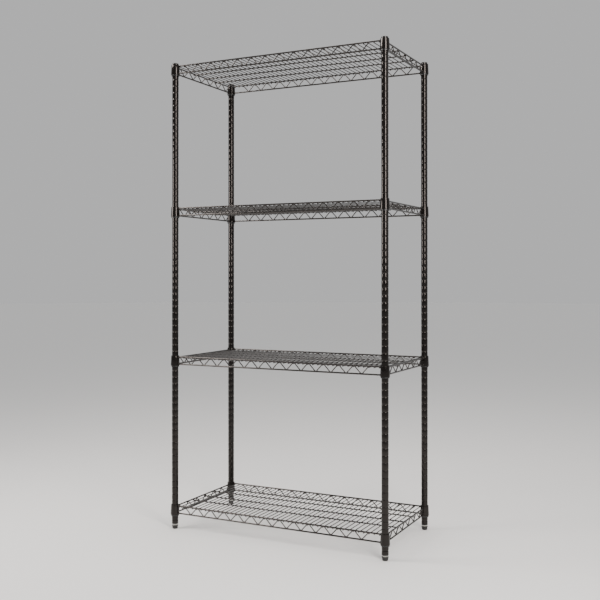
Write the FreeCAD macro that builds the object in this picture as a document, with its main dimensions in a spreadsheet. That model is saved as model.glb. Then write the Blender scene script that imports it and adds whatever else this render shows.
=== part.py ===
"""Four-tier wire shelving rack, 36 x 18 x 72 in: grooved posts, split sleeves, four lift-off wire
shelves and four levelling feet.

Frame: +Z up, X along the width, Y front to back (the front is at -Y). The origin is on the floor,
in the middle of the rack. A shelf's height is that of the centre of its front and back upper rods,
and every size of a shelf is measured from there.
"""
import FreeCAD
import Part
import Sketcher
import os
import re
from math import asin, atan2, cos, hypot, pi, sin, sqrt

DIMENSIONS = {
    # posts
    "post_spacing_x": 881.4,         # between post centres along the width
    "post_spacing_y": 424.2,         # between post centres, front to back
    "post_radius": 12.7,             # one-inch tube
    "post_wall": 1.5,
    "post_bottom": 22.5,             # lower end of the tube above the floor
    "post_top": 1823.0,
    "groove_pitch": 25.4,            # one groove every inch
    "groove_first": 35.56,           # height of the lowest groove
    "groove_count": 71,
    "groove_width": 3.0,
    "groove_depth": 0.7,
    # post caps
    "cap_head_radius": 12.6,
    "cap_head_height": 6.0,
    "cap_dome": 4.0,                 # radius that rounds the head's rim
    "cap_plug_radius": 11.05,
    "cap_plug_length": 16.0,
    # inserts and levelling feet
    "insert_radius": 11.15,
    "insert_length": 26.0,
    "insert_bore_radius": 5.0,
    "insert_flange": 3.6,
    "foot_height": 13.5,
    "foot_top_radius": 12.5,
    "foot_waist_radius": 11.6,       # where the foot starts to narrow
    "foot_floor_radius": 10.4,
    "foot_rim": 3.0,                 # height of the straight rim at the foot's top
    "foot_edge": 1.2,                # bevel on the rim and at the floor
    "foot_socket_depth": 9.5,
    "foot_socket_radius": 4.75,
    "stud_radius": 4.7,
    "stud_top": 44.0,
    "stud_point": 1.0,               # chamfer at the stud's end
    "hexagon_flats": 17.0,           # the stud's hexagon, for a spanner
    "hexagon_height": 5.0,
    # shelf heights (centre of the front and back upper rods)
    "bottom_shelf_height": 88.9,
    "lower_shelf_height": 673.1,
    "upper_shelf_height": 1257.3,
    "top_shelf_height": 1816.1,
    # corner collars and split sleeves: both tapers widen downwards
    "collar_top": 5.0,
    "collar_bottom": -33.5,
    "collar_bore_top": 14.2,
    "collar_bore_bottom": 16.0,
    "collar_wall": 1.6,
    "sleeve_top": 4.0,
    "sleeve_bottom": -38.5,
    "sleeve_lip": 3.5,               # straight rim under the taper
    "sleeve_bore": 12.75,
    "sleeve_gap": 0.3,               # clearance to the collar's bore
    "sleeve_arc": 177.0,             # degrees covered by each half
    "rib_height": -27.94,            # inner rib that sits in a post groove
    "rib_radius": 12.15,
    "rib_half_height": 0.5,
    # rods and wires of a shelf
    "rod_radius": 3.0,
    "lower_rod_drop": 28.5,          # lower rods below the upper ones
    "end_rod_drop": 3.15,            # end rods lie in the layer of the deck wires
    "weld_bite": 0.9,                # how far a rod's end is sunk into a collar
    "support_radius": 2.5,
    "support_drop": 8.3,
    "support_spacing": 81.0,
    "support_overhang": 2.0,         # beyond the end rods' centre line
    "deck_radius": 1.75,
    "deck_drop": 4.4,
    "deck_pitch": 20.0,
    "deck_count": 43,
    "deck_overhang": 1.5,            # beyond the front and back rods' centre line
    "truss_radius": 2.0,
    "truss_offset": 4.6,             # the truss wire lies this far inside its two rods
    "truss_bend": 6.0,               # centre-line radius of each bend
    "truss_inset": 1.0,              # bends stop short of the rods' centre lines
    "long_truss_pitch": 60.0,
    "long_truss_count": 13,
    "long_truss_shift": -10.0,       # the long waves aren't centred on the shelf
    "end_truss_pitch": 63.0,
    "end_truss_count": 6,
}

SHELVES = ("bottom_shelf", "lower_shelf", "upper_shelf", "top_shelf")
CORNERS = {
    "front_left": (-1, -1),
    "front_right": (1, -1),
    "back_left": (-1, 1),
    "back_right": (1, 1),
}

doc = FreeCAD.newDocument("wire_shelving_rack")
sizes = doc.addObject("Spreadsheet::Sheet", "Sizes")
for row, (alias, value) in enumerate(DIMENSIONS.items(), start=1):
    sizes.set("A%d" % row, alias)
    sizes.set("B%d" % row, str(value))
    sizes.setAlias("B%d" % row, alias)
doc.recompute()

parts = []


# ---------------------------------------------------------------- expressions on the sheet

def sheet_form(expression):
    """Put the sheet's name in front of every alias in an expression."""
    return re.sub(r"\b(%s)\b" % "|".join(DIMENSIONS), r"Sizes.\1", str(expression))


def size(expression):
    """The present value of an expression written in the sheet's aliases."""
    value = sizes.evalExpression(sheet_form(expression))
    return float(getattr(value, "Value", value))


def bind(thing, path, expression):
    thing.setExpression(path, sheet_form(expression))


# ---------------------------------------------------------------- bodies, sketches, features

def new_body(label, x=0, y=0, z=0, turn=0):
    """A body at a place given by expressions, turned about Z by a number of degrees."""
    body = doc.addObject("PartDesign::Body", label)
    body.Label = label
    body.AllowCompound = True
    body.Placement = FreeCAD.Placement(FreeCAD.Vector(), FreeCAD.Rotation(FreeCAD.Vector(0, 0, 1), turn))
    for axis, place in zip("xyz", (x, y, z)):
        bind(body, "Placement.Base." + axis, place)
    parts.append(body)
    return body


def origin_feature(body, role):
    return next(f for f in body.Origin.OriginFeatures if f.Role == role)


def new_sketch(body, name, plane, offset=(0, 0, 0)):
    """A sketch on one of the body's origin planes, shifted along the sketch's own x, y and normal.

    On XZ_Plane the normal is -Y, and on YZ_Plane it is +X.
    """
    sketch = body.newObject("Sketcher::SketchObject", name)
    sketch.AttachmentSupport = [(origin_feature(body, plane), "")]
    sketch.MapMode = "FlatFace"
    for axis, shift in zip("xyz", offset):
        if shift:
            bind(sketch, "AttachmentOffset.Base." + axis, shift)
    return sketch


def constrain(sketch, expression, kind, *what):
    """Add a dimension to the sketch and bind it to an expression."""
    index = sketch.addConstraint(Sketcher.Constraint(kind, *what, size(expression)))
    bind(sketch, "Constraints[%d]" % index, expression)


def fix_point(sketch, geometry, end, x, y):
    constrain(sketch, x, "DistanceX", geometry, end)
    constrain(sketch, y, "DistanceY", geometry, end)


def circle_sketch(body, name, plane, radii, centre=(0, 0), offset=(0, 0, 0)):
    """Concentric circles: one radius makes a rod, two make a tube."""
    sketch = new_sketch(body, name, plane, offset)
    middle = FreeCAD.Vector(size(centre[0]), size(centre[1]), 0)
    for radius in radii:
        index = sketch.addGeometry(Part.Circle(middle, FreeCAD.Vector(0, 0, 1), size(radius)))
        constrain(sketch, radius, "Radius", index)
        fix_point(sketch, index, 3, *centre)
    return sketch


def outline_sketch(body, name, plane, corners, offset=(0, 0, 0)):
    """A closed outline through corners whose two coordinates are expressions."""
    sketch = new_sketch(body, name, plane, offset)
    spots = [FreeCAD.Vector(size(x), size(y), 0) for x, y in corners]
    for start, end in zip(spots, spots[1:] + spots[:1]):
        sketch.addGeometry(Part.LineSegment(start, end))
    for index, corner in enumerate(corners):
        previous = (index - 1) % len(corners)
        sketch.addConstraint(Sketcher.Constraint("Coincident", previous, 2, index, 1))
        fix_point(sketch, index, 1, *corner)
    return sketch


def pad(body, name, sketch, length, midplane=False, reverse=False):
    feature = body.newObject("PartDesign::Pad", name)
    feature.Profile = sketch
    feature.Midplane = midplane
    feature.Reversed = reverse
    bind(feature, "Length", length)
    return feature


def revolve(body, name, sketch, angle=360, midplane=False, cut=False):
    """Turn a sketch about its own vertical axis."""
    feature = body.newObject("PartDesign::Groove" if cut else "PartDesign::Revolution", name)
    feature.Profile = sketch
    feature.ReferenceAxis = (sketch, ["V_Axis"])
    feature.Midplane = midplane
    bind(feature, "Angle", angle)
    return feature


def repeat(body, name, originals, *directions):
    """Repeat features along one or two axes: each direction is (axis, whole length, count)."""
    pattern = body.newObject("PartDesign::LinearPattern", name)
    pattern.Originals = originals
    for suffix, (axis, length, count) in zip(("", "2"), directions):
        setattr(pattern, "Direction" + suffix, (origin_feature(body, axis), [""]))
        setattr(pattern, "Mode" + suffix, "Extent")
        bind(pattern, "Length" + suffix, length)
        bind(pattern, "Occurrences" + suffix, count)
    body.Tip = pattern
    return pattern


def place_at(corner):
    """The post centre at a corner, as two expressions."""
    side, depth = CORNERS[corner]
    return "%d * post_spacing_x / 2" % side, "%d * post_spacing_y / 2" % depth


# ---------------------------------------------------------------- posts and what is on them

def make_post(corner):
    """A tube with a rolled groove every inch, for the sleeves to grip."""
    body = new_body("post_" + corner, *place_at(corner))
    section = circle_sketch(body, "TubeSection", "XY_Plane", ("post_radius", "post_radius - post_wall"),
                            offset=(0, 0, "post_bottom"))
    pad(body, "Tube", section, "post_top - post_bottom")
    mark = outline_sketch(body, "GrooveSection", "XZ_Plane", (
        ("post_radius - groove_depth", "groove_first - groove_width / 4"),
        ("post_radius + groove_depth", "groove_first - groove_width * 3 / 4"),
        ("post_radius + groove_depth", "groove_first + groove_width * 3 / 4"),
        ("post_radius - groove_depth", "groove_first + groove_width / 4"),
    ))
    groove = revolve(body, "Groove", mark, cut=True)
    repeat(body, "Grooves", [groove], ("Z_Axis", "groove_pitch * (groove_count - 1)", "groove_count"))


def make_cap(corner):
    """A plug in the top of the post with a rounded head."""
    body = new_body("post_cap_" + corner, *place_at(corner), "post_top")
    head = circle_sketch(body, "HeadSection", "XY_Plane", ("cap_head_radius",))
    pad(body, "Head", head, "cap_head_height")
    plug = circle_sketch(body, "PlugSection", "XY_Plane", ("cap_plug_radius",))
    blank = pad(body, "Plug", plug, "cap_plug_length", reverse=True)
    doc.recompute()
    dome = body.newObject("PartDesign::Fillet", "Dome")
    dome.Base = (blank, [top_edge(blank.Shape)])
    bind(dome, "Radius", "cap_dome")


def top_edge(shape):
    """The name of the highest edge."""
    heights = [edge.BoundBox.ZMin for edge in shape.Edges]
    return "Edge%d" % (heights.index(max(heights)) + 1)


def make_insert(corner):
    """A flanged insert, pressed into the foot of the post and bored for the foot's stud."""
    body = new_body("foot_insert_" + corner, *place_at(corner), "post_bottom")
    flange = circle_sketch(body, "FlangeSection", "XY_Plane", ("post_radius", "insert_bore_radius"))
    pad(body, "Flange", flange, "insert_flange", reverse=True)
    plug = circle_sketch(body, "PlugSection", "XY_Plane", ("insert_radius", "insert_bore_radius"))
    pad(body, "Plug", plug, "insert_length")


def make_foot_base(corner):
    """The foot itself: a turned pad with a straight rim, narrowing to the floor."""
    body = new_body("foot_base_" + corner, *place_at(corner))
    section = outline_sketch(body, "FootSection", "XZ_Plane", (
        (0, 0),
        ("foot_floor_radius - foot_edge", 0),
        ("foot_floor_radius", "foot_edge"),
        ("foot_waist_radius", "foot_height - foot_rim"),
        ("foot_top_radius", "foot_height - foot_rim + foot_edge / 2"),
        ("foot_top_radius", "foot_height - foot_edge / 2"),
        ("foot_top_radius - foot_edge / 2", "foot_height"),
        ("foot_socket_radius", "foot_height"),
        ("foot_socket_radius", "foot_height - foot_socket_depth"),
        (0, "foot_height - foot_socket_depth"),
    ))
    revolve(body, "Foot", section)


def make_foot_stud(corner):
    """The stud that screws up into the insert, with a hexagon that rests on the foot."""
    body = new_body("foot_stud_" + corner, *place_at(corner))
    section = outline_sketch(body, "StudSection", "XZ_Plane", (
        (0, "foot_height - foot_socket_depth"),
        ("stud_radius", "foot_height - foot_socket_depth"),
        ("stud_radius", "stud_top - stud_point"),
        ("stud_radius - stud_point", "stud_top"),
        (0, "stud_top"),
    ))
    revolve(body, "Stud", section)
    corners = [("%.6f * hexagon_flats" % (cos(turn * pi / 3) / sqrt(3)),
                "%.6f * hexagon_flats" % (sin(turn * pi / 3) / sqrt(3))) for turn in range(6)]
    outline = outline_sketch(body, "HexagonSection", "XY_Plane", corners, (0, 0, "foot_height"))
    pad(body, "Hexagon", outline, "hexagon_height")


# ---------------------------------------------------------------- corners of a shelf

BORE_TAPER = "((collar_bore_bottom - collar_bore_top) / (collar_top - collar_bottom))"


def bore_radius(height):
    """The collar's bore at a height: it widens downwards."""
    return "(collar_bore_top + %s * (collar_top - (%s)))" % (BORE_TAPER, height)


def collar_radius(height):
    return "(%s + collar_wall)" % bore_radius(height)


CORNER_GRID = (
    ("X_Axis", "post_spacing_x", "2"),
    ("Y_Axis", "post_spacing_y", "2"),
)
FIRST_CORNER = ("-post_spacing_x / 2", 0, "post_spacing_y / 2")


def make_collars(shelf):
    """Four tapered collars, which the shelf's rods are welded to."""
    body = new_body(shelf + "_collars", z=shelf + "_height")
    section = outline_sketch(body, "CollarSection", "XZ_Plane", (
        (bore_radius("collar_bottom"), "collar_bottom"),
        (collar_radius("collar_bottom"), "collar_bottom"),
        (collar_radius("collar_top"), "collar_top"),
        (bore_radius("collar_top"), "collar_top"),
    ), FIRST_CORNER)
    collar = revolve(body, "Collar", section)
    repeat(body, "Collars", [collar], *CORNER_GRID)


def make_sleeves(shelf):
    """Four split sleeves of two halves each. They taper like the collars and clip round the posts."""
    body = new_body(shelf + "_sleeves", z=shelf + "_height")
    halves = []
    for side in (-1, 1):
        profile = (
            ("sleeve_bore", "sleeve_bottom"),
            (bore_radius("sleeve_bottom + sleeve_lip") + " - sleeve_gap", "sleeve_bottom"),
            (bore_radius("sleeve_bottom + sleeve_lip") + " - sleeve_gap", "sleeve_bottom + sleeve_lip"),
            (bore_radius("sleeve_top") + " - sleeve_gap", "sleeve_top"),
            ("sleeve_bore", "sleeve_top"),
            ("sleeve_bore", "rib_height + 2 * rib_half_height"),
            ("rib_radius", "rib_height + rib_half_height"),
            ("rib_radius", "rib_height - rib_half_height"),
            ("sleeve_bore", "rib_height - 2 * rib_half_height"),
        )
        section = outline_sketch(body, "HalfSection", "XZ_Plane",
                                 [("%d * (%s)" % (side, x), y) for x, y in profile], FIRST_CORNER)
        halves.append(revolve(body, "Half", section, "sleeve_arc", midplane=True))
    repeat(body, "Sleeves", halves, *CORNER_GRID)


# ---------------------------------------------------------------- rods and wires of a shelf

def pair_of_rods(body, name, across, height, radius, reach):
    """Two rods on opposite sides of the shelf, at the post centres' lines.

    across is the axis the pair is spaced along, and reach is half the length of each rod.
    """
    if across == "Y":
        plane, spacing, shift = "YZ_Plane", "post_spacing_y", ("-post_spacing_y / 2", 0, 0)
    else:
        plane, spacing, shift = "XZ_Plane", "post_spacing_x", ("-post_spacing_x / 2", 0, 0)
    section = circle_sketch(body, name + "Section", plane, (radius,), (0, height), shift)
    rod = pad(body, name, section, "2 * (%s)" % reach, midplane=True)
    repeat(body, name + "Pair", [rod], (across + "_Axis", spacing, "2"))


def rod_reach(spacing, height):
    """Half the length of a rod that is sunk into the collars' walls at both ends."""
    return "%s / 2 - %s + weld_bite" % (spacing, collar_radius(height))


def make_upper_rods(shelf):
    body = new_body(shelf + "_upper_rods", z=shelf + "_height")
    pair_of_rods(body, "LongRod", "Y", "0", "rod_radius", rod_reach("post_spacing_x", "0"))
    pair_of_rods(body, "EndRod", "X", "-end_rod_drop", "rod_radius",
                 rod_reach("post_spacing_y", "-end_rod_drop"))


def make_lower_rods(shelf):
    body = new_body(shelf + "_lower_rods", z=shelf + "_height")
    for name, across, spacing in (("LongRod", "Y", "post_spacing_x"), ("EndRod", "X", "post_spacing_y")):
        pair_of_rods(body, name, across, "-lower_rod_drop", "rod_radius",
                     rod_reach(spacing, "-lower_rod_drop"))


def make_support_rods(shelf):
    """Three long rods under the deck wires, welded under the end rods."""
    body = new_body(shelf + "_support_rods", z=shelf + "_height")
    section = circle_sketch(body, "SupportSection", "YZ_Plane", ("support_radius",), (0, "-support_drop"),
                            ("-support_spacing", 0, 0))
    rod = pad(body, "Support", section, "post_spacing_x + 2 * support_overhang", midplane=True)
    repeat(body, "Supports", [rod], ("Y_Axis", "2 * support_spacing", "3"))


def make_deck_wires(shelf):
    """The close-set wires that carry the load, front to back, under the front and back rods."""
    body = new_body(shelf + "_deck_wires", z=shelf + "_height")
    section = circle_sketch(body, "WireSection", "XZ_Plane", ("deck_radius",), (0, "-deck_drop"),
                            ("-deck_pitch * (deck_count - 1) / 2", 0, 0))
    wire = pad(body, "Wire", section, "post_spacing_y + 2 * deck_overhang", midplane=True)
    repeat(body, "Wires", [wire], ("X_Axis", "deck_pitch * (deck_count - 1)", "deck_count"))


def wave_sketch(body, pitch, start, top, bottom):
    """One period of the truss wire's centre line: bend, run, bend, run, bend, all tangent."""
    sketch = new_sketch(body, "Wave", "XZ_Plane", (start, 0, 0))
    bend = size("truss_bend")
    reach = size(pitch) / 2
    rise = size(top) - size(bottom) - 2 * bend
    slope = atan2(rise, reach) + asin(2 * bend / hypot(reach, rise))
    bends = (
        ("0", top + " - truss_bend", pi / 2 - slope, pi / 2),
        (pitch + " / 2", bottom + " + truss_bend", 3 * pi / 2 - slope, 3 * pi / 2 + slope),
        (pitch, top + " - truss_bend", pi / 2, pi / 2 + slope),
    )
    arcs = []
    for x, y, first, last in bends:
        circle = Part.Circle(FreeCAD.Vector(size(x), size(y), 0), FreeCAD.Vector(0, 0, 1), bend)
        arcs.append(sketch.addGeometry(Part.ArcOfCircle(circle, first, last)))
        constrain(sketch, "truss_bend", "Radius", arcs[-1])
        fix_point(sketch, arcs[-1], 3, x, y)
    for (left, left_end), (right, right_end) in (((0, 1), (1, 1)), ((1, 2), (2, 2))):
        start_point = sketch.getPoint(arcs[left], left_end)
        end_point = sketch.getPoint(arcs[right], right_end)
        run = sketch.addGeometry(Part.LineSegment(start_point, end_point))
        sketch.addConstraint(Sketcher.Constraint("Tangent", run, 1, arcs[left], left_end))
        sketch.addConstraint(Sketcher.Constraint("Tangent", run, 2, arcs[right], right_end))
    for arc, tip in ((arcs[0], 2), (arcs[2], 1)):
        sketch.addConstraint(Sketcher.Constraint("Vertical", arc, tip, arc, 3))
    return sketch


def make_truss(label, shelf, pitch, count, top, shift="0", x=0, y=0, turn=0):
    """A wire bent into a wave that ties an upper rod to a lower one."""
    body = new_body(label, x, y, shelf + "_height", turn)
    start = "-%s * %s / 2 + %s" % (pitch, count, shift)
    upper = "(%s - truss_inset)" % top
    lower = "(-lower_rod_drop + truss_inset)"
    wave = wave_sketch(body, pitch, start, upper, lower)
    section = circle_sketch(body, "WireSection", "YZ_Plane", ("truss_radius",), (0, upper), (0, 0, start))
    wire = body.newObject("PartDesign::AdditivePipe", "Wire")
    wire.Profile = section
    wire.Spine = (wave, ["Edge%d" % (edge + 1) for edge in range(5)])
    wire.Refine = False
    pattern = repeat(body, "Waves", [wire], ("X_Axis", "%s * (%s - 1)" % (pitch, count), count))
    pattern.Refine = False


def make_trusses(shelf):
    """Front, back, left and right truss wires, each just inside its pair of rods."""
    inwards = {"x": "(post_spacing_x / 2 - truss_offset)", "y": "(post_spacing_y / 2 - truss_offset)"}
    for label, sign, turn in (("front", "-", 0), ("back", "", 180)):
        make_truss("%s_%s_truss" % (shelf, label), shelf, "long_truss_pitch", "long_truss_count",
                   "0", "long_truss_shift", y=sign + inwards["y"], turn=turn)
    for label, sign, turn in (("left", "-", 270), ("right", "", 90)):
        make_truss("%s_%s_truss" % (shelf, label), shelf, "end_truss_pitch", "end_truss_count",
                   "-end_rod_drop", x=sign + inwards["x"], turn=turn)


# ---------------------------------------------------------------- the whole rack

for corner in CORNERS:
    make_post(corner)
    make_cap(corner)
    make_insert(corner)
    make_foot_base(corner)
    make_foot_stud(corner)
for shelf in SHELVES:
    make_sleeves(shelf)
    make_collars(shelf)
    make_upper_rods(shelf)
    make_lower_rods(shelf)
    make_trusses(shelf)
    make_support_rods(shelf)
    make_deck_wires(shelf)
doc.recompute()

for thing in doc.Objects:
    if set(thing.State) & {"Invalid", "Error"}:
        raise RuntimeError("%s failed: %s" % (thing.Label, thing.State))
for part in parts:
    if part.Shape.isNull() or not part.Shape.isValid() or not part.Shape.Solids:
        raise RuntimeError("%s has no valid solid" % part.Label)

os.makedirs("parts", exist_ok=True)
for part in parts:
    part.Shape.exportStep("parts/%s.step" % part.Label)
    box = part.Shape.BoundBox
    print("%-28s %3d solids %9.1f mm3  x %7.1f %7.1f  y %7.1f %7.1f  z %7.1f %7.1f" % (
        part.Label, len(part.Shape.Solids), part.Shape.Volume,
        box.XMin, box.XMax, box.YMin, box.YMax, box.ZMin, box.ZMax))
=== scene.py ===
# Looks of the wire shelving rack: gloss black epoxy on grooved posts and welded wire shelves, black
# moulded plastic sleeves, caps, inserts and feet, and zinc-plated studs. All sizes are in metres, in
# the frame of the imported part: +Z up, the front at -Y, the origin on the floor under the middle.
from math import cos, floor, pi, radians, sin, tau

import bmesh
import bpy
from mathutils import Matrix, Vector


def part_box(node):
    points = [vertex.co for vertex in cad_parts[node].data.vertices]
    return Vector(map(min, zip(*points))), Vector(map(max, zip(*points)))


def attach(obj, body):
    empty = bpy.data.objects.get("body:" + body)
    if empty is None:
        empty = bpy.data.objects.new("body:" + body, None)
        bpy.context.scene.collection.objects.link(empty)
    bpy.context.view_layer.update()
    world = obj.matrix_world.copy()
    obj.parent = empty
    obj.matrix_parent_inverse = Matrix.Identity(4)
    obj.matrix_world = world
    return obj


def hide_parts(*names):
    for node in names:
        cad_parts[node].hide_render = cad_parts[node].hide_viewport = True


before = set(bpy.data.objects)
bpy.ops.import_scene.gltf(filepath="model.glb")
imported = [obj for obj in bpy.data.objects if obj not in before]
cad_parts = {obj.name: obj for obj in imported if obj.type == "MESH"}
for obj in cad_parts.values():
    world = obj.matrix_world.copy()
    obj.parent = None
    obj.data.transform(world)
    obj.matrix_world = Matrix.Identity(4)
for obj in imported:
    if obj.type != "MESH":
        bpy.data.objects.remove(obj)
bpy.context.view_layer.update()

CORNERS = ("front_left", "front_right", "back_left", "back_right")
SHELVES = ("bottom_shelf", "lower_shelf", "upper_shelf", "top_shelf")
X, Y, Z = Vector((1, 0, 0)), Vector((0, 1, 0)), Vector((0, 0, 1))

# Sizes that a node's box doesn't give
ROD_RADIUS = 0.003
SUPPORT_RADIUS = 0.0025
DECK_RADIUS = 0.00175
TRUSS_RADIUS = 0.002
POST_WALL = 0.0015
GROOVE_PITCH = 0.0254
GROOVE_FIRST = 0.03556            # height of the lowest groove
GROOVE_HALF_WIDTH = 0.0028        # with its rolled shoulders
GROOVE_DEPTH = 0.0007
DECK_PITCH = 0.020
LONG_TRUSS_PITCH = 0.060
END_TRUSS_PITCH = 0.063
COLLAR_WALL = 0.0016
COLLAR_TAPER = 0.0018 / 0.0385    # how fast the collars and sleeves widen downwards
SLEEVE_LIP = 0.0035
SLEEVE_ARC = radians(177)
SLEEVE_BORE = 0.01275
RIB_DROP = 0.02794                # the sleeves' rib below the long upper rods
RIB_DEPTH = 0.0006
RIB_ROOT, RIB_CREST = 0.001, 0.0005    # half heights of the rib, at the bore and inmost
COLLAR_ROUNDING = 0.0006
SLEEVE_ROUNDING = 0.0005
STUD_RADIUS = 0.0047
HEXAGON_HEIGHT = 0.005

# Half axes of the welds: along the wire or rod, across it, and up
DECK_WELD = (0.0027, 0.0024, 0.0010)
SUPPORT_WELD = (0.0033, 0.0032, 0.0011)
TRUSS_WELD = (0.0034, 0.0011, 0.0021)
COLLAR_WELD = (0.0021, 0.0043, 0.0042)
COLLAR_WELD_REACH = 0.0009        # its middle beyond the collar's outside
TRUSS_WELD_INSET = 0.0006         # its middle inwards of the rod's, in height

# Facets round a turned piece, and along a groove
POST_FACETS = 56
COLLAR_FACETS = 64
SLEEVE_FACETS = 32                # of one half
GROOVE_STEPS = 10


# ---------------------------------------------------------------- meshes

def finish_piece(name, bm, body, material, replaced=(), sharp=40):
    """Turn a bmesh into a smooth-shaded piece that rides on a body."""
    bmesh.ops.recalc_face_normals(bm, faces=bm.faces)
    mesh = bpy.data.meshes.new(name)
    bm.to_mesh(mesh)
    bm.free()
    mesh.shade_smooth()
    mesh.set_sharp_from_angle(angle=radians(sharp))
    mesh.materials.append(material)
    piece = bpy.data.objects.new(name, mesh)
    bpy.context.scene.collection.objects.link(piece)
    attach(piece, body)
    if replaced:
        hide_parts(*replaced)
    return piece


def skin(bm, rings, wrap_rings):
    """Quads between neighbouring rings of vertices. Every ring holds the same number, and closes."""
    points = len(rings[0])
    for i in range(len(rings) if wrap_rings else len(rings) - 1):
        here, there = rings[i], rings[(i + 1) % len(rings)]
        for k in range(points):
            after = (k + 1) % points
            bm.faces.new((here[k], here[after], there[after], there[k]))


def add_lathe(bm, outline, place, segments, arc=tau, start=0.0):
    """Turn a closed outline of (radius, height) points about the vertical line through a place."""
    whole = arc >= tau
    rings = []
    for i in range(segments if whole else segments + 1):
        angle = start + arc * i / segments
        rings.append([bm.verts.new((place[0] + r * cos(angle), place[1] + r * sin(angle), z))
                      for r, z in outline])
    skin(bm, rings, whole)
    if not whole:
        bm.faces.new(rings[0])
        bm.faces.new(rings[-1])


def rounded(outline, corners, radius, steps=4):
    """An outline with some of its corners, given by index, rounded off."""
    points = []
    for index, (r, z) in enumerate(outline):
        if index not in corners:
            points.append((r, z))
            continue
        here = Vector((r, z))
        before = (Vector(outline[index - 1]) - here).normalized() * radius
        after = (Vector(outline[(index + 1) % len(outline)]) - here).normalized() * radius
        for step in range(steps + 1):
            t = step / steps
            spot = here + before * (1 - t) ** 2 + after * t ** 2
            points.append((spot.x, spot.y))
    return points


def add_lump(bm, centre, half_axes, along=X, across=Y):
    """A small weld: an ellipsoid with half axes along, across and up."""
    long, wide, tall = half_axes
    place = Matrix((along * long, across * wide, Z * tall)).transposed().to_4x4()
    place.translation = centre
    bmesh.ops.create_icosphere(bm, subdivisions=2, radius=1, matrix=place)


# ---------------------------------------------------------------- materials

def new_material(name, colour, roughness, metallic=0.0):
    """A Principled material, with its shader and its texture coordinate in metres."""
    material = bpy.data.materials.new(name)
    material.use_nodes = True
    nodes = material.node_tree.nodes
    shader = nodes["Principled BSDF"]
    shader.inputs["Base Color"].default_value = (*colour, 1)
    shader.inputs["Roughness"].default_value = roughness
    shader.inputs["Metallic"].default_value = metallic
    return material, shader, nodes.new("ShaderNodeTexCoord").outputs["Object"]


def noise(material, place, scale, detail=2.0):
    """Noise with a number of waves per metre."""
    node = material.node_tree.nodes.new("ShaderNodeTexNoise")
    node.inputs["Scale"].default_value = scale
    node.inputs["Detail"].default_value = detail
    material.node_tree.links.new(place, node.inputs["Vector"])
    return node.outputs["Fac"]


def spread(material, factor, low, high, start=0.3, end=0.7):
    """A number between low and high as the factor goes from start to end."""
    node = material.node_tree.nodes.new("ShaderNodeMapRange")
    for socket, value in (("From Min", start), ("From Max", end), ("To Min", low), ("To Max", high)):
        node.inputs[socket].default_value = value
    material.node_tree.links.new(factor, node.inputs["Value"])
    return node.outputs["Result"]


def tint(material, factor, dark, light, start=0.3, end=0.7):
    """A colour between dark and light as the factor goes from start to end."""
    node = material.node_tree.nodes.new("ShaderNodeValToRGB")
    node.color_ramp.elements[0].position = start
    node.color_ramp.elements[1].position = end
    node.color_ramp.elements[0].color = (*dark, 1)
    node.color_ramp.elements[1].color = (*light, 1)
    material.node_tree.links.new(factor, node.inputs["Fac"])
    return node.outputs["Color"]


def relief(material, height, depth, normal=None):
    """A bump of a depth in metres, over another one if given."""
    node = material.node_tree.nodes.new("ShaderNodeBump")
    node.inputs["Strength"].default_value = 1.0
    node.inputs["Distance"].default_value = depth
    material.node_tree.links.new(height, node.inputs["Height"])
    if normal:
        material.node_tree.links.new(normal, node.inputs["Normal"])
    return node.outputs["Normal"]


def black_epoxy(name, specular):
    """Gloss powder coat: faint orange peel, thinner and duller in patches, with a few nibs of dust."""
    material, shader, place = new_material(name, (0.0045, 0.0039, 0.0036), 0.12)
    link = material.node_tree.links.new
    patches = noise(material, place, scale=9.0, detail=4.0)
    link(tint(material, patches, dark=(0.0032, 0.0027, 0.0025), light=(0.0062, 0.0053, 0.0048)),
         shader.inputs["Base Color"])
    smears = noise(material, place, scale=55.0, detail=5.0)
    link(spread(material, smears, low=0.08, high=0.16), shader.inputs["Roughness"])
    peel = relief(material, noise(material, place, scale=420.0), depth=0.000006)
    dust = noise(material, place, scale=900.0, detail=0.0)
    nibs = spread(material, dust, low=0.0, high=1.0, start=0.82, end=0.90)
    link(relief(material, nibs, depth=0.00003, normal=peel), shader.inputs["Normal"])
    shader.inputs["Specular IOR Level"].default_value = specular
    shader.inputs["Specular Tint"].default_value = (1.0, 0.92, 0.88, 1)
    return material


def moulded_plastic(name, colour, roughness, grain, depth):
    """Black plastic with a moulded grain, given in waves per metre and its depth in metres."""
    material, shader, place = new_material(name, colour, roughness)
    link = material.node_tree.links.new
    lighter = tuple(value * 1.6 for value in colour)
    blotches = noise(material, place, scale=60.0, detail=3.0)
    link(tint(material, blotches, dark=colour, light=lighter), shader.inputs["Base Color"])
    wear = noise(material, place, scale=130.0, detail=4.0)
    link(spread(material, wear, roughness - 0.07, roughness + 0.07), shader.inputs["Roughness"])
    link(relief(material, noise(material, place, grain, 3.0), depth), shader.inputs["Normal"])
    return material


def zinc_plate():
    """Bright zinc with a faint yellow-blue passivation tint and fine turning marks."""
    material, shader, place = new_material("zinc_plate", (0.55, 0.54, 0.51), 0.28, metallic=1.0)
    link = material.node_tree.links.new
    film = noise(material, place, scale=180.0, detail=3.0)
    link(tint(material, film, dark=(0.46, 0.46, 0.44), light=(0.62, 0.60, 0.56)),
         shader.inputs["Base Color"])
    smears = noise(material, place, scale=300.0, detail=4.0)
    link(spread(material, smears, low=0.2, high=0.38), shader.inputs["Roughness"])
    marks = material.node_tree.nodes.new("ShaderNodeTexWave")
    marks.wave_type = "BANDS"
    marks.bands_direction = "Z"
    marks.inputs["Scale"].default_value = 500.0
    marks.inputs["Distortion"].default_value = 2.0
    link(place, marks.inputs["Vector"])
    link(relief(material, marks.outputs["Fac"], depth=0.00002), shader.inputs["Normal"])
    return material


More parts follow.
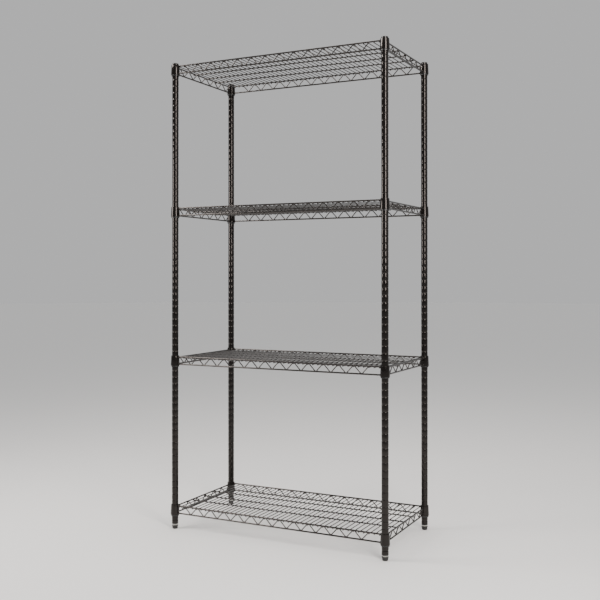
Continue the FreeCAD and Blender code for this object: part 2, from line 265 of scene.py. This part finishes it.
# The wires reflect more than the posts because that comes closer to the decks' tone in the
# photograph. The real coat is likely the same on both.
EPOXY = black_epoxy("gloss_black_epoxy", specular=0.32)
WIRE_EPOXY = black_epoxy("wire_black_epoxy", specular=0.65)
CAP_PLASTIC = moulded_plastic("cap_plastic", (0.005, 0.0048, 0.0046), 0.19, 1500.0, 0.00001)
SLEEVE_PLASTIC = moulded_plastic("sleeve_plastic", (0.006, 0.006, 0.006), 0.36, 1200.0, 0.00004)
FOOT_PLASTIC = moulded_plastic("foot_plastic", (0.007, 0.0068, 0.0065), 0.34, 1200.0, 0.00005)
ZINC = zinc_plate()


def paint_nodes():
    """Give every carried-over CAD node its finish."""
    finishes = {"black_epoxy": EPOXY, "black_plastic": CAP_PLASTIC, "sleeve_plastic": SLEEVE_PLASTIC,
                "foot_plastic": FOOT_PLASTIC, "zinc_plate": ZINC}
    for name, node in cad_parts.items():
        for slot in node.material_slots:
            slot.material = finishes[slot.material.name.split(".")[0]]
            if name.endswith(("_rods", "_wires", "_truss")):
                slot.material = WIRE_EPOXY


# ---------------------------------------------------------------- posts and feet

def middle_of(node):
    low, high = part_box(node)
    return (low + high) / 2


def groove_outline(radius, low, high):
    """The outside of a post from low to high, with its rolled grooves."""
    points = [(radius, low)]
    count = floor((high - GROOVE_FIRST) / GROOVE_PITCH) + 1
    for index in range(count):
        height = GROOVE_FIRST + GROOVE_PITCH * index
        for step in range(GROOVE_STEPS + 1):
            t = 2 * step / GROOVE_STEPS - 1
            dip = GROOVE_DEPTH * (1 + cos(pi * t)) / 2
            points.append((radius - dip, height + GROOVE_HALF_WIDTH * t))
    points.append((radius, high))
    return points


def make_post(corner):
    """A tube with a rounded groove every inch."""
    node = "post_" + corner
    low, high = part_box(node)
    radius = (high.x - low.x) / 2
    outline = groove_outline(radius, low.z, high.z)
    outline += [(radius - POST_WALL, high.z), (radius - POST_WALL, low.z)]
    bm = bmesh.new()
    add_lathe(bm, outline, middle_of(node), POST_FACETS)
    finish_piece("tube_" + corner, bm, "rack", EPOXY, [node])


def add_thread(bm, centre, low, high):
    """A stud between two heights whose radius follows a helix, with a chamfer at the top."""
    pitch, depth, chamfer = 0.0015, 0.0008, 0.001
    steepness = 1.35              # of the flanks; above 1 it leaves a flat crest
    around, per_pitch = 32, 8
    rows = round((high - low) / pitch * per_pitch)
    rings = []
    for row in range(rows + 1):
        height = low + (high - low) * row / rows
        limit = STUD_RADIUS - max(0.0, chamfer - (high - height))
        ring = []
        for step in range(around):
            turn = step / around
            phase = (height / pitch - turn) % 1.0
            ridge = min(1.0, steepness * (1 - abs(2 * phase - 1)))
            r = min(limit, STUD_RADIUS - depth * (1 - ridge))
            ring.append(bm.verts.new((centre.x + r * cos(tau * turn),
                                      centre.y + r * sin(tau * turn), height)))
        rings.append(ring)
    skin(bm, rings, False)
    bm.faces.new(rings[0])
    bm.faces.new(rings[-1])


def add_hexagon(bm, centre, low, high, flats):
    """A hexagon with its corners turned off at both ends, as on a nut."""
    around, chamfer = 72, 0.0008
    corner = flats / 2 / cos(pi / 6)
    rings = []
    for height, limit in ((low, corner - chamfer), (low + chamfer / 2, corner),
                          (high - chamfer / 2, corner), (high, corner - chamfer)):
        ring = []
        for step in range(around):
            angle = tau * step / around
            from_flat = (angle % (pi / 3)) - pi / 6
            r = min(flats / 2 / cos(from_flat), limit)
            ring.append(bm.verts.new((centre.x + r * cos(angle), centre.y + r * sin(angle), height)))
        rings.append(ring)
    skin(bm, rings, False)
    bm.faces.new(rings[0])
    bm.faces.new(rings[-1])


def make_stud(corner):
    """The threaded stud with its hexagon, which rests on the foot."""
    node = "foot_stud_" + corner
    low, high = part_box(node)
    centre = (low + high) / 2
    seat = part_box("foot_base_" + corner)[1].z
    bm = bmesh.new()
    add_thread(bm, centre, low.z, high.z)
    add_hexagon(bm, centre, seat, seat + HEXAGON_HEIGHT, high.y - low.y)
    finish_piece("threaded_stud_" + corner, bm, "foot_" + corner, ZINC, [node])


# ---------------------------------------------------------------- collars and sleeves of a shelf

def make_collars(shelf):
    """Four tapered collars with rolled rims, and a bead of weld round every rod's end."""
    node = shelf + "_collars"
    low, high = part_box(node)
    widest = (high.x - low.x) / 2 - middle_of("post_front_right").x
    top_radius = widest - COLLAR_TAPER * (high.z - low.z)
    outline = rounded([(widest - COLLAR_WALL, low.z), (widest, low.z), (top_radius, high.z),
                       (top_radius - COLLAR_WALL, high.z)], (0, 1, 2, 3), COLLAR_ROUNDING)
    _, _, long_top, end_top, under = rods_of(shelf)
    bm = bmesh.new()
    for corner in CORNERS:
        place = middle_of("post_" + corner)
        add_lathe(bm, outline, place, COLLAR_FACETS)
        inwards_x, inwards_y = -X * (1 if place.x > 0 else -1), -Y * (1 if place.y > 0 else -1)
        for along, across, height in ((inwards_x, Y, long_top), (inwards_x, Y, under),
                                      (inwards_y, X, end_top), (inwards_y, X, under)):
            reach = top_radius + COLLAR_TAPER * (high.z - height) + COLLAR_WELD_REACH
            spot = Vector((place.x, place.y, height)) + along * reach
            add_lump(bm, spot, COLLAR_WELD, along, across)
    finish_piece(shelf + "_rolled_collars", bm, shelf, EPOXY, [node])


def make_sleeves(shelf):
    """Split sleeves: two moulded halves round each post, with a straight lip and an inner rib."""
    node = shelf + "_sleeves"
    low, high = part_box(node)
    widest = (high.x - low.x) / 2 - middle_of("post_front_right").x
    taper_low = low.z + SLEEVE_LIP
    top_radius = widest - COLLAR_TAPER * (high.z - taper_low)
    rib = rods_of(shelf)[2] - RIB_DROP
    outline = rounded([
        (SLEEVE_BORE, low.z), (widest, low.z), (widest, taper_low), (top_radius, high.z),
        (SLEEVE_BORE, high.z), (SLEEVE_BORE, rib + RIB_ROOT),
        (SLEEVE_BORE - RIB_DEPTH, rib + RIB_CREST), (SLEEVE_BORE - RIB_DEPTH, rib - RIB_CREST),
        (SLEEVE_BORE, rib - RIB_ROOT)], (1, 3), SLEEVE_ROUNDING)
    bm = bmesh.new()
    for corner in CORNERS:
        for half in (-1, 1):
            start = pi / 2 - half * pi / 2 - SLEEVE_ARC / 2
            add_lathe(bm, outline, middle_of("post_" + corner), SLEEVE_FACETS, SLEEVE_ARC, start)
    finish_piece(shelf + "_split_sleeves", bm, "rack", SLEEVE_PLASTIC, [node])


# ---------------------------------------------------------------- welds of a shelf

def rods_of(shelf):
    """Half spacings of a shelf's long and end rods, and the heights of its upper and lower ones."""
    low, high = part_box(shelf + "_upper_rods")
    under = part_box(shelf + "_lower_rods")[0].z + ROD_RADIUS
    return high.x - ROD_RADIUS, high.y - ROD_RADIUS, high.z - ROD_RADIUS, low.z + ROD_RADIUS, under


def support_lines(shelf):
    """Where the support rods run: their places across the shelf, and their height."""
    low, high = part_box(shelf + "_support_rods")
    outer = high.y - SUPPORT_RADIUS
    return (-outer, 0.0, outer), (low.z + high.z) / 2


def add_deck_welds(bm, shelf):
    """Where the deck wires cross the long rods over them and the support rods under them."""
    _, half_y, top, _, _ = rods_of(shelf)
    supports, support_height = support_lines(shelf)
    low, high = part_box(shelf + "_deck_wires")
    wire_height = (low.z + high.z) / 2
    count = round((high.x - low.x - 2 * DECK_RADIUS) / DECK_PITCH) + 1
    under_rods = (top - ROD_RADIUS + wire_height + DECK_RADIUS) / 2
    over_supports = (wire_height - DECK_RADIUS + support_height + SUPPORT_RADIUS) / 2
    crossings = [(y, under_rods) for y in (-half_y, half_y)] + [(y, over_supports) for y in supports]
    for index in range(count):
        x = low.x + DECK_RADIUS + DECK_PITCH * index
        for y, z in crossings:
            add_lump(bm, Vector((x, y, z)), DECK_WELD)


def add_support_welds(bm, shelf):
    """Where the support rods pass under the end rods."""
    half_x, _, _, end_top, _ = rods_of(shelf)
    supports, support_height = support_lines(shelf)
    height = (end_top - ROD_RADIUS + support_height + SUPPORT_RADIUS) / 2
    for x in (-half_x, half_x):
        for y in supports:
            add_lump(bm, Vector((x, y, height)), SUPPORT_WELD)


def add_truss_welds(bm, shelf, side):
    """Where a truss wire's bends touch an upper and a lower rod."""
    half_x, half_y, long_top, end_top, under = rods_of(shelf)
    low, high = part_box("%s_%s_truss" % (shelf, side))
    inward = -1 if side in ("back", "right") else 1
    if side in ("front", "back"):
        along, across, pitch, top = X, Y, LONG_TRUSS_PITCH, long_top
        start, end, line, rod = low.x, high.x, (low.y + high.y) / 2, -inward * half_y
    else:
        along, across, pitch, top = Y, X, END_TRUSS_PITCH, end_top
        start, end, line, rod = low.y, high.y, (low.x + high.x) / 2, -inward * half_x
    waves = round((end - start) / pitch)
    touch = rod + (line - rod) * ROD_RADIUS / (ROD_RADIUS + TRUSS_RADIUS)
    for step in range(2 * waves + 1):
        height = top - TRUSS_WELD_INSET if step % 2 == 0 else under + TRUSS_WELD_INSET
        centre = along * (start + pitch * step / 2) + across * touch + Z * height
        add_lump(bm, centre, TRUSS_WELD, along, across)


def make_welds(shelf):
    bm = bmesh.new()
    add_deck_welds(bm, shelf)
    add_support_welds(bm, shelf)
    finish_piece(shelf + "_deck_welds", bm, shelf, WIRE_EPOXY, sharp=180)
    bm = bmesh.new()
    for side in ("front", "back", "left", "right"):
        add_truss_welds(bm, shelf, side)
    finish_piece(shelf + "_truss_welds", bm, shelf, WIRE_EPOXY, sharp=180)


# ---------------------------------------------------------------- studio

def make_floor():
    bm = bmesh.new()
    bmesh.ops.create_circle(bm, cap_ends=True, segments=96, radius=30.0)
    mesh = bpy.data.meshes.new("floor")
    bm.to_mesh(mesh)
    bm.free()
    material, _, _ = new_material("floor_paint", (0.78, 0.775, 0.765), 0.55)
    mesh.materials.append(material)
    floor_disc = bpy.data.objects.new("floor", mesh)
    bpy.context.scene.collection.objects.link(floor_disc)


def softbox(name, place, target, width, height, power, colour):
    """A rectangular area light that faces a target, with its size in metres and its power in watts."""
    light = bpy.data.lights.new(name, "AREA")
    light.shape = "RECTANGLE"
    light.size, light.size_y = width, height
    light.energy = power
    light.color = colour
    lamp = bpy.data.objects.new(name, light)
    lamp.location = place
    lamp.rotation_euler = (Vector(target) - Vector(place)).to_track_quat("-Z", "Y").to_euler()
    lamp.visible_camera = False
    bpy.context.scene.collection.objects.link(lamp)


def make_sky():
    """A pale backdrop, dimmer walls behind the camera, and a bright ceiling that lights the floor as
    pale as the backdrop."""
    world = bpy.data.worlds.new("studio")
    world.use_nodes = True
    nodes, link = world.node_tree.nodes, world.node_tree.links.new
    split = nodes.new("ShaderNodeSeparateXYZ")
    link(nodes.new("ShaderNodeTexCoord").outputs["Generated"], split.inputs["Vector"])
    total = nodes.new("ShaderNodeMath")
    total.operation = "ADD"
    # Brightness from low to high as a direction's component goes from start to end
    rises = (("Y", -0.5, 0.6, 0.20, 0.54), ("Z", 0.3, 1.0, 0.0, 0.62))
    for index, (axis, start, end, low, high) in enumerate(rises):
        rise = nodes.new("ShaderNodeMapRange")
        for socket, value in (("From Min", start), ("From Max", end),
                              ("To Min", low), ("To Max", high)):
            rise.inputs[socket].default_value = value
        link(split.outputs[axis], rise.inputs["Value"])
        link(rise.outputs["Result"], total.inputs[index])
    nodes["Background"].inputs["Color"].default_value = (1.0, 1.0, 1.005, 1)
    link(total.outputs["Value"], nodes["Background"].inputs["Strength"])
    bpy.context.scene.world = world


def make_studio():
    make_floor()
    make_sky()
    left_low, left_high, right = (-1.74, -1.22, 1.35), (-1.74, -1.22, 2.75), (1.96, -1.66, 1.95)
    above = (0.3, 0.4, 3.8)
    warm, warmer = (1.0, 0.95, 0.91), (1.0, 0.93, 0.88)
    softbox("softbox_left", left_low, (0, 0, 1.2), 0.9, 0.75, 24, warm)
    softbox("softbox_left_high", left_high, (0, 0, 1.8), 0.9, 0.6, 50, warm)
    softbox("softbox_right", right, (0, 0, 1.4), 0.8, 1.9, 88, warm)
    softbox("overhead", above, (0, 0, 0.9), 2.4, 2.4, 60, warmer)


def make_camera():
    """The viewpoint: almost level, right of the front, a little over half the rack's height up."""
    camera = bpy.data.cameras.new("camera")
    camera.sensor_width = 36.0
    camera.lens = 53.35
    camera.shift_y = -0.05
    eye = bpy.data.objects.new("camera", camera)
    eye.location = (1.570, -3.119, 0.9917)
    eye.rotation_euler = (radians(90.37), 0, radians(26.69))
    bpy.context.scene.collection.objects.link(eye)
    bpy.context.scene.camera = eye


make_camera()
make_studio()
paint_nodes()
for corner in CORNERS:
    make_post(corner)
    make_stud(corner)
for shelf in SHELVES:
    make_collars(shelf)
    make_sleeves(shelf)
    make_welds(shelf)
